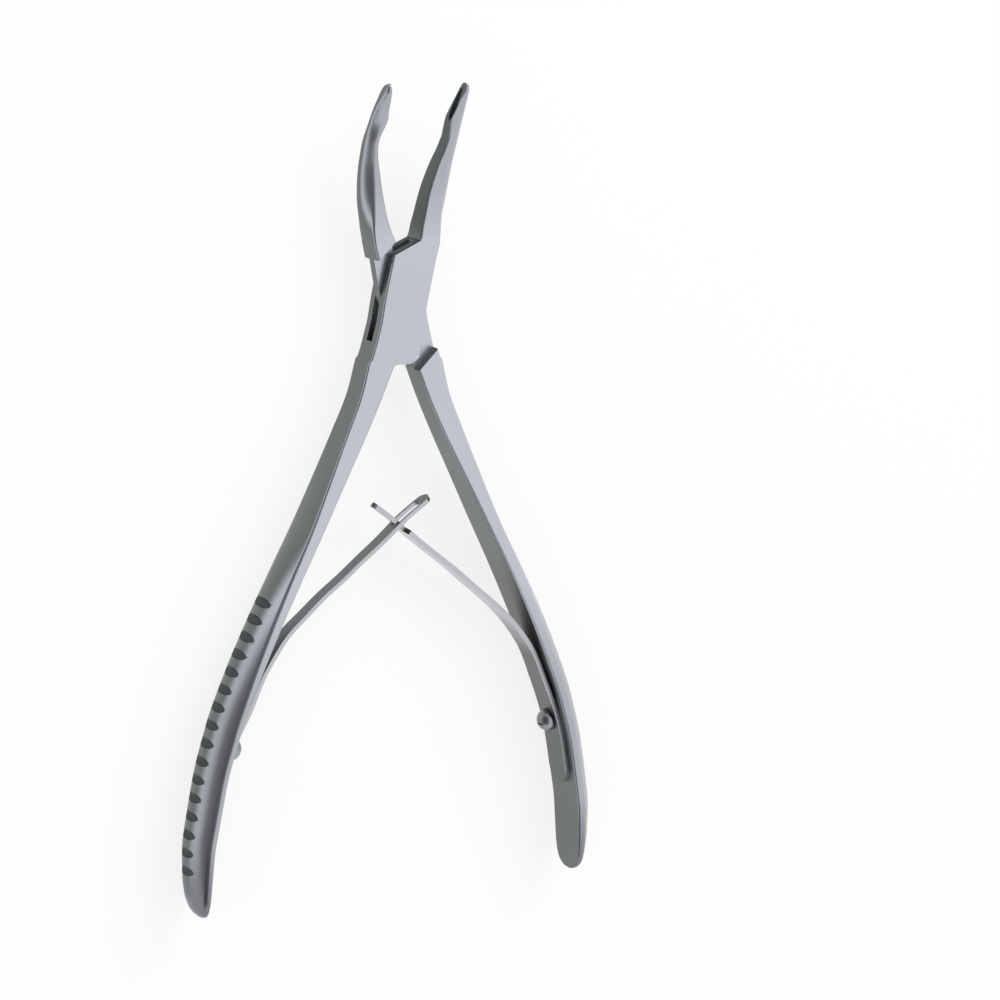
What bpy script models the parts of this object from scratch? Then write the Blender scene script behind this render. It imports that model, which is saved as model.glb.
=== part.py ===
# A bone rongeur: two forged halves joined by a box lock, with two leaf springs between the handles.
# The slotted half holds the box, and the tang of the other half passes through it on the pivot pin.
# Each half is modelled closed, with its pivot at the origin and its tip along +Y, and then opened.

import math
import bmesh
import bpy
import numpy as np
from mathutils import Matrix, Vector

# The lock
box_half_width = 0.0048
box_thickness = 0.00695
box_side_reach = 0.0096  # from the pivot to the corner where the box starts to slant in
box_crotch_reach = 0.0133  # from the pivot to the fork between the jaws
box_heel_reach = 0.0119  # from the pivot to the fork between the handles
crotch_gap = 0.0004  # from the closing plane to each half at both forks
slot_radius = 0.0098
tang_thickness = 0.0023
tang_clearance = 0.00008
shoulder_gap = 0.00035
heel_shoulder_reach = 0.0106  # from the pivot to the male half's lower shoulder at the box's side
heel_fork_reach = 0.0141  # and where that shoulder meets the closing plane
pin_radius = 0.0019
pin_clearance = 0.00004
seat_gap = 0.0003  # between pieces that touch
half_opening_angle = math.radians(10.14)

# The jaws
jaw_reach = 0.0455  # from the pivot to the tips
jaw_rise = 0.01106  # of the tips over the middle of the box
jaw_root_width = 0.00475
bite_length = 0.0076  # from the tip back to the step
bite_step = 0.00195  # how far the shank stands back from the bite
bite_clearance = 0.00005
cup_length = 0.0082
cup_width = 0.002
cup_depth = 0.00105
least_thickness = 0.0003  # of a jaw at its tip

# The handles
handle_reach = 0.1289  # from the pivot to the ends
handle_spread = 0.0216  # from the closing plane to the inner face at its widest
handle_width = 0.0123  # along the pivot, where the grip is widest
handle_root_thickness = 0.0055
grip_crown = 0.003  # how far the outer face bulges over its edges
edge_radius = 0.00055
notch_count = 16
notch_radius = 0.00115
notch_depth = 0.0005

# The springs and their screws
spring_thickness = 0.00085
spring_seat_width = 0.0074
spring_tip_width = 0.0036
spring_tail_length = 0.0145  # behind the screw
eye_slot_width = 0.002
eye_slot_length = 0.0074
tongue_width = 0.0015
tongue_length = 0.0094
tongue_shoulder = 0.0005
screw_head_radius = 0.0022
screw_head_height = 0.00115
screw_shank_radius = 0.0009
screw_shank_clearance = 0.00008
screw_shank_depth = 0.0019
screw_slot_width = 0.0005
screw_slot_depth = 0.00045

overrun = 0.002  # how far a cutter stands out of what it cuts
half_thickness = box_thickness / 2
tang_radius = slot_radius - seat_gap

# The lock's outline. Towards the handles it goes by the heel's reach: place, the side that runs into the
# handle and the rounded heel. Towards the jaws it goes by the side's reach. Widths go by the box's half width.
heel_place_shares = (1, 0.985, 0.93, 0.8, 0.36)
heel_handle_shares = (1.19, 1.18, 1.16, 1.12, 1)
heel_free_shares = (0.083, 0.44, 0.8, 1.04, 0.97)
box_place_shares = (0, 0.5, 1)
box_free_shares = (0.93, 0.94, 0.97)

# The handle from the heel of the box to its end: place along it, then the inner face's distance from the closing
# plane, the thickness, the width along the pivot and the crown, each as a share of its largest size.
handle_place_shares = (0.004, 0.069, 0.137, 0.223, 0.308, 0.394, 0.479, 0.574, 0.667, 0.761, 0.856, 0.923,
                       0.958, 0.98, 0.993, 1)
handle_inner_shares = (0.022, 0.097, 0.196, 0.333, 0.469, 0.611, 0.738, 0.861, 0.954, 0.993, 0.998, 0.972,
                       0.95, 0.936, 0.926, 0.92)
handle_thick_shares = (1, 0.72, 0.66, 0.56, 0.46, 0.39, 0.33, 0.28, 0.25, 0.24, 0.24, 0.23,
                       0.22, 0.2, 0.17, 0.1)
handle_width_shares = (0.565, 0.58, 0.62, 0.707, 0.79, 0.855, 0.905, 0.958, 1, 0.99, 0.965, 0.92,
                       0.85, 0.74, 0.57, 0.34)
handle_crown_shares = (0, 0, 0, 0.1, 0.27, 0.52, 0.75, 0.92, 1, 1, 0.98, 0.88, 0.76, 0.6, 0.42, 0.2)

# The jaw: place from the fork (0) to the start of the bite (1) and on to the tip (2), the outer face's
# distance from the closing plane as a share of the root's width, how far the shank stands back as a share of
# the bite's step, how much of the thickness is the outer face's round, and the heights of the two side faces
# as shares of the tip's rise.
jaw_place_shares = (0, 0.09, 0.2, 0.33, 0.47, 0.63, 0.76, 0.845, 0.915, 0.99, 1.11, 1.41, 1.66, 1.85, 1.95,
                    1.99, 2)
jaw_outer_shares = (1, 1.01, 1.04, 1.05, 1.04, 0.98, 0.91, 0.86, 0.81, 0.74, 0.69, 0.56, 0.43, 0.31, 0.22,
                    0.14, 0.08)
jaw_back_shares = (0.18, 0.34, 0.48, 0.55, 0.63, 0.76, 0.86, 0.8, 0.48, 0.1, 0, 0, 0, 0, 0, 0, 0)
jaw_round_shares = (0, 0.06, 0.15, 0.32, 0.48, 0.6, 0.66, 0.68, 0.68, 0.66, 0.64, 0.6, 0.55, 0.45, 0.35,
                    0.28, 0.2)
jaw_low_shares = (-0.3, -0.268, -0.23, -0.184, -0.118, -0.015, 0.104, 0.192, 0.277, 0.384, 0.45, 0.593, 0.733,
                  0.845, 0.925, 0.967, 0.985)
jaw_high_shares = (0.3, 0.284, 0.284, 0.29, 0.32, 0.378, 0.465, 0.535, 0.605, 0.685, 0.737, 0.862, 0.983, 1.04,
                   1.04, 1.02, 1.005)
jaw_widest_share = -0.4  # how far from the middle of the outer face its round stands out most
jaw_under_share = 0.5  # of the round that is lost again at the lower edge
cup_place_share = 0.42  # from the tip to the start of the bite
cup_rise_share = 0.755  # of the tip's rise
cup_slope_share = 0.6  # of the tip's rise, over the bite's length

notch_start_share = 0.489  # from the pivot to the first grip notch
notch_end_share = 0.923  # and to the last one
screw_place_share = 0.733  # from the pivot to a spring's screw
# A spring's middle line in the handle's frame, from the screw to where it crosses its fellow: the distance
# from the closing plane as a share of the handle's spread, and the place along the handle as a share of
# its reach. The tip runs on in a straight line.
spring_x_shares = (0.822, 0.75, 0.662, 0.562, 0.42, 0.262, 0.095, -0.08, -0.235, -0.372)
spring_y_shares = (0.656, 0.608, 0.57, 0.536, 0.504, 0.472, 0.44, 0.407, 0.374, 0.341)
spring_width_shares = (1, 0.62, 0.36, 0.2, 0.1, 0)  # from the screw to the crossing, over the tip's width
round_end_shares = (0.04, 0.15, 0.35, 0.65)  # places on a strip's rounded end, as shares of its radius
shank_tip_share = 0.8  # of the screw shank's radius
dome_angle = math.radians(84)
crown_side_shares = (-0.8, -0.53, -0.27, 0, 0.27, 0.53, 0.8)  # points across a side face
corner_limit_share = 0.48  # of the narrower side, for a rounded corner


def clear_scene():
    for item in list(bpy.data.objects):
        bpy.data.objects.remove(item)


def make_material(name, colour, roughness):
    material = bpy.data.materials.new(name)
    material.use_nodes = True
    shader = material.node_tree.nodes["Principled BSDF"]
    shader.inputs["Base Color"].default_value = (*colour, 1)
    shader.inputs["Metallic"].default_value = 1
    shader.inputs["Roughness"].default_value = roughness
    return material


def smooth_values(places, values, at):
    """A smooth curve through the given values, read at other places."""
    places, values = np.array(places, float), np.array(values, float)
    slopes = np.gradient(values, places)
    index = np.clip(np.searchsorted(places, at) - 1, 0, len(places) - 2)
    span = places[index + 1] - places[index]
    t = (at - places[index]) / span
    return ((2 * t**3 - 3 * t**2 + 1) * values[index] + (t**3 - 2 * t**2 + t) * span * slopes[index]
            + (3 * t**2 - 2 * t**3) * values[index + 1] + (t**3 - t**2) * span * slopes[index + 1])


def handle_places():
    """The handle's stations as distances from the pivot."""
    return box_heel_reach + np.array(handle_place_shares) * (handle_reach - box_heel_reach)


def handle_inner(distance):
    """How far the handle's inner face lies from the closing plane, at a distance from the pivot."""
    return float(smooth_values(handle_places(), np.array(handle_inner_shares) * handle_spread, distance))


def object_from(name, mesh_maker, parent, material=None):
    """A named object whose mesh the given function fills in a bmesh."""
    mesh = bpy.data.meshes.new(name)
    work = bmesh.new()
    mesh_maker(work)
    bmesh.ops.recalc_face_normals(work, faces=work.faces)
    work.to_mesh(mesh)
    work.free()
    item = bpy.data.objects.new(name, mesh)
    bpy.context.collection.objects.link(item)
    item.parent = parent
    if material:
        mesh.materials.append(material)
        mesh.shade_smooth()
        mesh.set_sharp_from_angle(angle=math.radians(30))
    else:
        item.hide_render = True
        item.display_type = "WIRE"
    return item


def cut(target, cutter, operation="DIFFERENCE"):
    change = target.modifiers.new(cutter.name, "BOOLEAN")
    change.operation = operation
    change.object = cutter


def bridge(work, rings, domed=False):
    """One closed body through rings of equal numbers of points. Domed ends fan out from a middle point."""
    rows = [[work.verts.new(point) for point in ring] for ring in rings]
    for low, high in zip(rows, rows[1:]):
        for i in range(len(low)):
            j = (i + 1) % len(low)
            work.faces.new((low[i], low[j], high[j], high[i]))
    for row in (rows[0], rows[-1]):
        if domed:
            middle = work.verts.new(sum((point.co for point in row), Vector()) / len(row))
            for i in range(len(row)):
                work.faces.new((row[i], row[(i + 1) % len(row)], middle))
        else:
            work.faces.new(row)
    bmesh.ops.triangulate(work, faces=work.faces)


def prism(name, outline, low, high, parent):
    """A cutter: an outline in the opening plane, between two heights."""
    return object_from(name, lambda work: bridge(
        work, [[(x, y, height) for x, y in outline] for height in (low, high)]), parent)


def circle(radius, count, centre=(0, 0), start=0):
    return [(centre[0] + radius * math.cos(a), centre[1] + radius * math.sin(a))
            for a in np.linspace(start, start + 2 * math.pi, count, endpoint=False)]


def bulge(share, widest, under):
    """A crown's height at a place from -1 to 1 across a face: 1 where it is widest, 0 at the upper edge."""
    if share > widest:
        return 1 - ((share - widest) / (1 - widest)) ** 2
    return 1 - under * ((widest - share) / (1 + widest)) ** 2


def section(y, left, right, low, high, radius, left_crown=0, right_crown=0):
    """A ring round one cross-section: a box with rounded corners, bulged at its sides by the crowns."""
    radius = min(radius, corner_limit_share * (right - left), corner_limit_share * (high - low))
    middle, reach = (low + high) / 2, (high - low) / 2
    corners = ((left, low, math.pi), (right, low, 1.5 * math.pi), (right, high, 0), (left, high, 0.5 * math.pi))
    points = []
    for number, (x, z, start) in enumerate(corners):
        centre_x = x + radius if x == left else x - radius
        centre_z = z + radius if z == low else z - radius
        for step in range(4):
            angle = start + step * math.pi / 6
            points.append((centre_x + radius * math.cos(angle), centre_z + radius * math.sin(angle)))
        if number == 1:
            points += [(right, middle + share * (reach - radius)) for share in crown_side_shares]
        if number == 3:
            points += [(left, middle - share * (reach - radius)) for share in crown_side_shares]
    ring = []
    for x, z in points:
        share = max(-1, min(1, (z - middle) / reach))
        if x < (left + right) / 2:
            x -= left_crown * bulge(share, 0, 1)
        else:
            x += right_crown * bulge(share, jaw_widest_share, jaw_under_share)
        ring.append((x, y, z))
    return ring


def half_sections():
    """Rings of a whole half from the handle's end to the jaw's tip: handle on the left, jaw on the right."""
    rings = []
    for distance, inner, thick, wide, crown in reversed(list(zip(
            handle_places(), handle_inner_shares, handle_thick_shares, handle_width_shares,
            handle_crown_shares))):
        inside = inner * handle_spread
        outside = inside + thick * handle_root_thickness
        reach = wide * handle_width / 2
        rings.append(section(-distance, -outside, -inside, -reach, reach, edge_radius,
                             left_crown=crown * grip_crown))
    lock = [(-place * box_heel_reach, outer, free)
            for place, outer, free in zip(heel_place_shares, heel_handle_shares, heel_free_shares)]
    lock += [(place * box_side_reach, 1, free) for place, free in zip(box_place_shares, box_free_shares)]
    for y, outer, free in lock:
        rings.append(section(y, -outer * box_half_width, free * box_half_width, -half_thickness,
                             half_thickness, edge_radius))
    stations = (box_crotch_reach, jaw_reach - bite_length, jaw_reach)
    for place, outer, back, curved, low, high in zip(
            jaw_place_shares, jaw_outer_shares, jaw_back_shares, jaw_round_shares, jaw_low_shares,
            jaw_high_shares):
        y = float(np.interp(place, (0, 1, 2), stations))
        left = bite_clearance + back * bite_step
        thick = max(outer * jaw_root_width - left, least_thickness)
        rings.append(section(y, left, left + thick * (1 - curved), low * jaw_rise, high * jaw_rise,
                             edge_radius, right_crown=thick * curved))
    return rings


def make_blank(name, side, parent, material):
    """One forged half before its lock is cut. Side 1 has its handle on the left, side -1 on the right."""
    rings = [[(side * x, y, z) for x, y, z in ring] for ring in half_sections()]
    return object_from(name, lambda work: bridge(work, rings, domed=True), parent, material)


def corner_arc(radius, wall):
    """An arc about the pivot, from the line x = wall below it round to the left side."""
    start = -math.pi / 2 + math.asin(wall / radius)
    return [(radius * math.cos(a), radius * math.sin(a)) for a in np.linspace(start, -math.pi, 20)]


def cut_slot(female, parent):
    """The slot that the tang passes through: a round room with an open mouth at two opposite corners."""
    reach = tang_thickness / 2 + tang_clearance
    wall = crotch_gap - seat_gap
    far = box_crotch_reach + overrun
    half = corner_arc(slot_radius, wall) + [(-slot_radius, far), (-wall, far)]
    cut(female, prism("slot", half + [(-x, -y) for x, y in half], -reach, reach, parent))


def crown_summit(distance):
    """The middle of the grip's outer face in the opening plane, at a distance from the pivot."""
    inner, thick, crown = (float(np.interp(distance, handle_places(), values)) for values in (
        handle_inner_shares, handle_thick_shares, handle_crown_shares))
    return Vector((inner * handle_spread + thick * handle_root_thickness + crown * grip_crown, -distance))


def cut_notches(half, side, parent):
    """Short hollows across the crown of the grip, in a row along it."""
    def row(work):
        for share in np.linspace(notch_start_share, notch_end_share, notch_count):
            distance = share * handle_reach
            along = crown_summit(distance + notch_radius) - crown_summit(distance - notch_radius)
            outward = Vector((-along.y, along.x)).normalized()
            middle = crown_summit(distance) + outward * (notch_radius - notch_depth)
            ring = [(-side * x, y) for x, y in circle(notch_radius, 20, middle)]
            bridge(work, [[(x, y, z) for x, y in ring] for z in (-handle_width / 2, handle_width / 2)])

    cut(half, object_from(half.name + "_notches", row, parent))


def shoulder_outline():
    """The region between the male half's two diagonal shoulders, which step down to the tang."""
    slant = (box_crotch_reach - box_side_reach) / (box_half_width + crotch_gap)
    upper = box_side_reach + shoulder_gap * math.hypot(1, slant)
    heel_slant = (heel_fork_reach - heel_shoulder_reach) / box_half_width
    far = box_half_width + 2 * overrun
    fork = overrun / 2

    def height(x):
        return upper + (x + box_half_width) * slant

    def depth(x):
        return heel_fork_reach - x * heel_slant

    return ((-far, height(-far)), (fork, height(fork)), (far, height(fork)),
            (far, -depth(far)), (-fork, -depth(-fork)), (-far, -depth(-fork)))


def cut_tang(male, parent):
    """Both faces of the male half are recessed between its shoulders, and its corners rounded to the slot."""
    reach = tang_thickness / 2
    top = half_thickness + overrun
    cut(male, prism("front_recess", shoulder_outline(), reach, top, parent))
    cut(male, prism("back_recess", shoulder_outline(), -top, -reach, parent))
    far = box_crotch_reach + overrun
    corner = corner_arc(tang_radius, crotch_gap) + [(-tang_radius, -far), (crotch_gap, -far)]
    cut(male, prism("heel_corner", corner, -top, top, parent))
    cut(male, prism("jaw_corner", [(-x, -y) for x, y in corner], -top, top, parent))


def cut_pin_hole(half, name, clearance, parent):
    cut(half, prism(name, circle(pin_radius + clearance, 48), -half_thickness - overrun,
                    half_thickness + overrun, parent))


def cut_cup(half, name, parent):
    """The spoon hollow in a bite's inner face, along the curve of the jaw."""
    rise = math.atan2(jaw_rise * cup_slope_share, bite_length)
    centre = Vector((0, jaw_reach - bite_length * cup_place_share, jaw_rise * cup_rise_share))

    def ellipsoid(work):
        bmesh.ops.create_uvsphere(work, u_segments=28, v_segments=14, radius=1)
        sizes = Matrix.Diagonal((cup_depth, cup_length / 2, cup_width / 2, 1))
        bmesh.ops.transform(work, verts=work.verts,
                            matrix=Matrix.Translation(centre) @ Matrix.Rotation(rise, 4, "X") @ sizes)

    cut(half, object_from(name, ellipsoid, parent))


def spring_line():
    """The spring's middle line in the handle's frame, as points in the opening plane, tail to tip."""
    back = seat_gap + spring_thickness / 2
    seat = screw_place_share * handle_reach
    tail = [seat + spring_tail_length * share for share in (1, 0.75, 0.5, 0.25, 0)]
    points = [Vector((handle_inner(y) - back, -y)) for y in tail]
    drawn = [Vector((x * handle_spread, -y * handle_reach))
             for x, y in zip(spring_x_shares, spring_y_shares)]
    return points + drawn


def along_spring():
    """Points at even steps on a smooth curve through the spring's line, with their distances from the tail."""
    line = spring_line()
    places = np.concatenate([[0], np.cumsum([(b - a).length for a, b in zip(line, line[1:])])])
    at = np.linspace(0, places[-1], 60)
    return at, smooth_values(places, [p.x for p in line], at), smooth_values(places, [p.y for p in line], at)


def crossing_distance():
    """Where a spring passes the line on which it meets its fellow, as a distance from its tail."""
    at, x, y = along_spring()
    turned = x * math.cos(half_opening_angle) - y * math.sin(half_opening_angle)
    return float(np.interp(0, -turned, at))


def spring_frame(distance):
    """The point and the direction of the spring at a distance from its tail; it runs straight on at its tip."""
    at, x, y = along_spring()
    step = at[1]
    inside = min(distance, at[-1])

    def point(d):
        return Vector((float(np.interp(d, at, x)), float(np.interp(d, at, y)), 0))

    low, high = max(0, inside - step), min(at[-1], inside + step)
    direction = (point(high) - point(low)).normalized()
    return point(inside) + direction * (distance - inside), direction


def leaf_width(distance, tail, crossing):
    """The strip's width: full at the screw, then tapered to the crossing."""
    places = np.linspace(tail, crossing, len(spring_width_shares))
    share = float(np.interp(distance, places, spring_width_shares))
    return spring_tip_width + share * (spring_seat_width - spring_tip_width)


def make_leaf(name, side, tip_length, tongue, parent, material):
    """A leaf spring for the handle on the given side, with a slotted round end or a narrow tongue."""
    crossing = crossing_distance()
    tail = spring_tail_length
    end = crossing + tip_length
    shoulder = crossing - tongue_width - spring_thickness
    stops = list(np.linspace(0, shoulder if tongue else end, 40))
    if tongue:
        stops += list(np.linspace(shoulder + tongue_shoulder, end, 8))
    rings = []

    def add_ring(distance, width):
        point, direction = spring_frame(distance)
        sideways = Vector((direction.y, -direction.x, 0)) * spring_thickness / 2
        up = Vector((0, 0, width / 2))
        rings.append([(side * p.x, p.y, p.z) for p in (point - sideways - up, point + sideways - up,
                                                       point + sideways + up, point - sideways + up)])

    tail_radius = spring_seat_width / 2
    for share in round_end_shares:
        add_ring(share * tail_radius, spring_seat_width * math.sqrt(1 - (1 - share) ** 2))
    for stop in stops:
        if tail_radius < stop < end - spring_tip_width / 2 or (tongue and stop < end - tongue_width / 2):
            if stop > tail_radius:
                add_ring(stop, tongue_width if tongue and stop > shoulder else leaf_width(stop, tail, crossing))
    last_width = tongue_width if tongue else spring_tip_width
    for share in reversed(round_end_shares):
        add_ring(end - share * last_width / 2, last_width * math.sqrt(1 - (1 - share) ** 2))
    leaf = object_from(name, lambda work: bridge(work, rings), parent, material)
    if not tongue:
        cut_eye(leaf, side, crossing, end, parent)
    return leaf


def cut_eye(leaf, side, crossing, end, parent):
    """The long slot at the spring's tip that its fellow's tongue passes through."""
    slot_end = end - spring_tip_width / 2
    middle, direction = spring_frame(slot_end - eye_slot_length / 2)
    across = Vector((direction.y, -direction.x, 0))
    radius = eye_slot_width / 2
    straight = eye_slot_length / 2 - radius
    outline = [(straight + s, z) for s, z in circle(radius, 16, start=-math.pi / 2)[:9]]
    outline += [(-x, -z) for x, z in outline]

    def slot(work):
        rings = [[middle + direction * s + across * depth + Vector((0, 0, z)) for s, z in outline]
                 for depth in (-overrun, overrun)]
        bridge(work, [[(side * p.x, p.y, p.z) for p in ring] for ring in rings])

    cut(leaf, object_from(leaf.name + "_slot", slot, parent))


def screw_matrix(side):
    """Places a turned piece on the screw's axis, with its +Z from the handle towards the other handle."""
    point, direction = spring_frame(spring_tail_length)
    outward = Vector((direction.y, -direction.x, 0)) * -1
    along = direction
    up = outward.cross(along)
    turn = Matrix((along, up, outward)).transposed().to_4x4()
    place = Matrix.Translation(point + outward * spring_thickness / 2) @ turn
    return Matrix.Diagonal((side, 1, 1, 1)) @ place


def turned(name, profile, segments, matrix, parent, material=None):
    """A body of revolution about Z from a profile of radius and height, lowest first, ending on the axis."""
    def spin(work):
        bridge(work, [[(x, y, z) for x, y in circle(r, segments)] for r, z in profile])
        bmesh.ops.transform(work, verts=work.verts, matrix=matrix)

    return object_from(name, spin, parent, material)


def make_screw(name, side, parent, material):
    """A dome-head screw through the leaf into the handle, with a driver slot."""
    under = seat_gap
    depth = spring_thickness + screw_shank_depth
    dome = [(screw_head_radius * math.cos(a), under + screw_head_height * math.sin(a))
            for a in np.linspace(0, dome_angle, 9)]
    tip_radius = screw_shank_radius * shank_tip_share
    profile = [(tip_radius, -depth), (screw_shank_radius, -depth + screw_shank_radius - tip_radius),
               (screw_shank_radius, under)] + dome
    screw = turned(name, profile, 32, screw_matrix(side), parent, material)
    top = under + screw_head_height
    half_slot, far = screw_slot_width / 2, screw_head_radius + overrun
    across = object_from(name + "_slot", lambda work: bridge(work, [
        [tuple(screw_matrix(side) @ Vector((x, y, z))) for x, y in (
            (-half_slot, -far), (half_slot, -far), (half_slot, far), (-half_slot, far))]
        for z in (top - screw_slot_depth, top + overrun)]), parent)
    cut(screw, across)
    return screw


def cut_screw_hole(piece, name, side, low, high, parent):
    radius = screw_shank_radius + screw_shank_clearance
    cut(piece, turned(name, [(radius, low), (radius, high)], 32, screw_matrix(side), parent))


def make_pin(parent, material):
    ends = [(pin_radius, -half_thickness), (pin_radius, half_thickness)]
    return turned("pivot_pin", ends, 48, Matrix.Identity(4), parent, material)


def main():
    clear_scene()
    steel = make_material("satin_steel", (0.62, 0.63, 0.65), 0.32)
    pin_steel = make_material("pin_steel", (0.6, 0.61, 0.63), 0.3)
    spring_steel = make_material("spring_steel", (0.5, 0.51, 0.53), 0.28)
    screw_steel = make_material("screw_steel", (0.6, 0.61, 0.62), 0.25)
    axes = {}
    for name, turn in (("female", -1), ("male", 1)):
        axes[name] = bpy.data.objects.new(name + "_axis", None)
        bpy.context.collection.objects.link(axes[name])
        axes[name].location = (0, 0, half_thickness)
        axes[name].rotation_euler = (0, 0, turn * half_opening_angle)

    female = make_blank("female_half", 1, axes["female"], steel)
    cut_slot(female, axes["female"])
    cut_pin_hole(female, "cheek_hole", pin_clearance, axes["female"])
    cut_cup(female, "female_cup", axes["female"])
    cut_notches(female, 1, axes["female"])

    male = make_blank("male_half", -1, axes["male"], steel)
    cut_tang(male, axes["male"])
    cut_pin_hole(male, "tang_hole", pin_clearance, axes["male"])
    cut_cup(male, "male_cup", axes["male"])
    cut_notches(male, -1, axes["male"])

    make_pin(axes["female"], pin_steel)
    hole_depth = spring_thickness + seat_gap + screw_shank_depth + seat_gap
    for name, side, half, axis, tip_length in (
            ("eye", -1, female, axes["female"], eye_slot_length),
            ("tongue", 1, male, axes["male"], tongue_length / 2)):
        leaf = make_leaf(name + "_leaf_spring", side, tip_length, name == "tongue", axis, spring_steel)
        cut_screw_hole(leaf, name + "_leaf_hole", side, -spring_thickness - overrun, overrun, axis)
        cut_screw_hole(half, name + "_handle_hole", side, -hole_depth, overrun, axis)
        make_screw(name + "_spring_screw", side, axis, screw_steel)


main()
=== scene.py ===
import math
import bmesh
import bpy
import numpy as np
from mathutils import Matrix, Vector


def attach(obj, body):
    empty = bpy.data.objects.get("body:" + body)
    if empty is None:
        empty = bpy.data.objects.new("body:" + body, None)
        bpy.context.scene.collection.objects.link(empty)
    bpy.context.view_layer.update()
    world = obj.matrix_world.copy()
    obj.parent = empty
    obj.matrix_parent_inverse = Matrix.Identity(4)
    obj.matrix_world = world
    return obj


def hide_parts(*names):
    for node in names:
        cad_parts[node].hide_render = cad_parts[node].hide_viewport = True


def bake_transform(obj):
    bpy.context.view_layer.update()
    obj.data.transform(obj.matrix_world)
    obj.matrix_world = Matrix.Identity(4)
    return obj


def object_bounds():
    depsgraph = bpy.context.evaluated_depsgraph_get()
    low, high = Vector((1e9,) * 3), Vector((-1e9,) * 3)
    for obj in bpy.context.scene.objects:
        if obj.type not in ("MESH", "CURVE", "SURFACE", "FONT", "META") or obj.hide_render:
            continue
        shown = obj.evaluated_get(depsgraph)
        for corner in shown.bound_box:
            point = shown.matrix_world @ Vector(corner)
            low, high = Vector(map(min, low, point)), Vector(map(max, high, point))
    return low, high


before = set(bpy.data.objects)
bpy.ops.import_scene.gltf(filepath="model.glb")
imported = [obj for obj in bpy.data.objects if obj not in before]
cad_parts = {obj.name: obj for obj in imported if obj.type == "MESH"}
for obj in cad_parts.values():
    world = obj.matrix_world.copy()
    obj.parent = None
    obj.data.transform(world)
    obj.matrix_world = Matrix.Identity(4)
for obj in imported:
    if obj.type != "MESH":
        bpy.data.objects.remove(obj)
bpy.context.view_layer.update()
print("frame loaded:", ", ".join(sorted(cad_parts)))

# All lengths in this file are millimetres until a mesh is finished.
mm = 0.001

lock = {
    "halfWidth": 4.8, "thickness": 6.95, "sideReach": 9.6, "crotchReach": 13.3, "heelReach": 11.9,
    "forkGap": 0.4, "slotRadius": 9.8, "tangThickness": 2.3, "tangClearance": 0.08,
    "shoulderGap": 0.35, "heelShoulderReach": 10.6, "heelForkReach": 14.1,
    "pinRadius": 1.9, "holeClearance": 0.04, "fitGap": 0.3, "openingAngle": 10.14, "shoulderEnd": 1,
}
halfThickness = lock["thickness"] / 2
overrun = 2  # how far a cutter runs past the steel that it cuts
mergeReach = 0.0004  # points nearer than this, in a finished mesh, become one
roundSides = 96
arcSteps = 60
mirror = Matrix.Diagonal((-1, 1, 1, 1))

section = {
    "edge": 0.45, "edgeShare": 0.48, "edgeSteps": 6, "edgeTurn": 18, "flatPlaces": (-0.5, 0, 0.5),
    "crownRows": 13, "crownReach": 0.86, "sharpAngle": 32,
}
handle = {
    "reach": 128.9, "spread": 21.6, "width": 12.3, "rootThickness": 5.5, "crown": 3.35, "edge": 0.5,
    "place": (0.096, 0.155, 0.217, 0.295, 0.372, 0.45, 0.527, 0.613, 0.698, 0.783, 0.869, 0.93, 0.962,
              0.98, 0.9905, 0.996),
    "inner": (0.014, 0.089, 0.188, 0.33, 0.469, 0.611, 0.738, 0.861, 0.954, 0.995, 0.993, 0.959, 0.934,
              0.92, 0.91, 0.904),
    "thick": (1.05, 0.86, 0.78, 0.62, 0.49, 0.42, 0.355, 0.29, 0.25, 0.24, 0.24, 0.23, 0.22, 0.2, 0.16, 0.1),
    "wide": (0.565, 0.58, 0.63, 0.735, 0.845, 0.92, 0.965, 0.99, 1, 0.99, 0.965, 0.915, 0.855, 0.75, 0.55,
             0.24),
    "bulge": (0, 0, 0, 0.1, 0.27, 0.52, 0.75, 0.92, 1, 1, 0.98, 0.86, 0.68, 0.46, 0.27, 0.1),
    "rings": 150, "endPlace": 0.955, "endReach": 0.04, "endRings": 26, "endEase": 1.7,
}
heel = {
    "place": (1, 0.985, 0.93, 0.8, 0.36), "handleSide": (1.19, 1.18, 1.16, 1.12, 1.04),
    "freeSide": (0.083, 0.44, 0.8, 1.04, 0.97), "rings": 26, "ease": 1.8, "swell": 0.06, "boxRings": 9,
    "boxSide": (0.93, 0.97),
}
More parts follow.
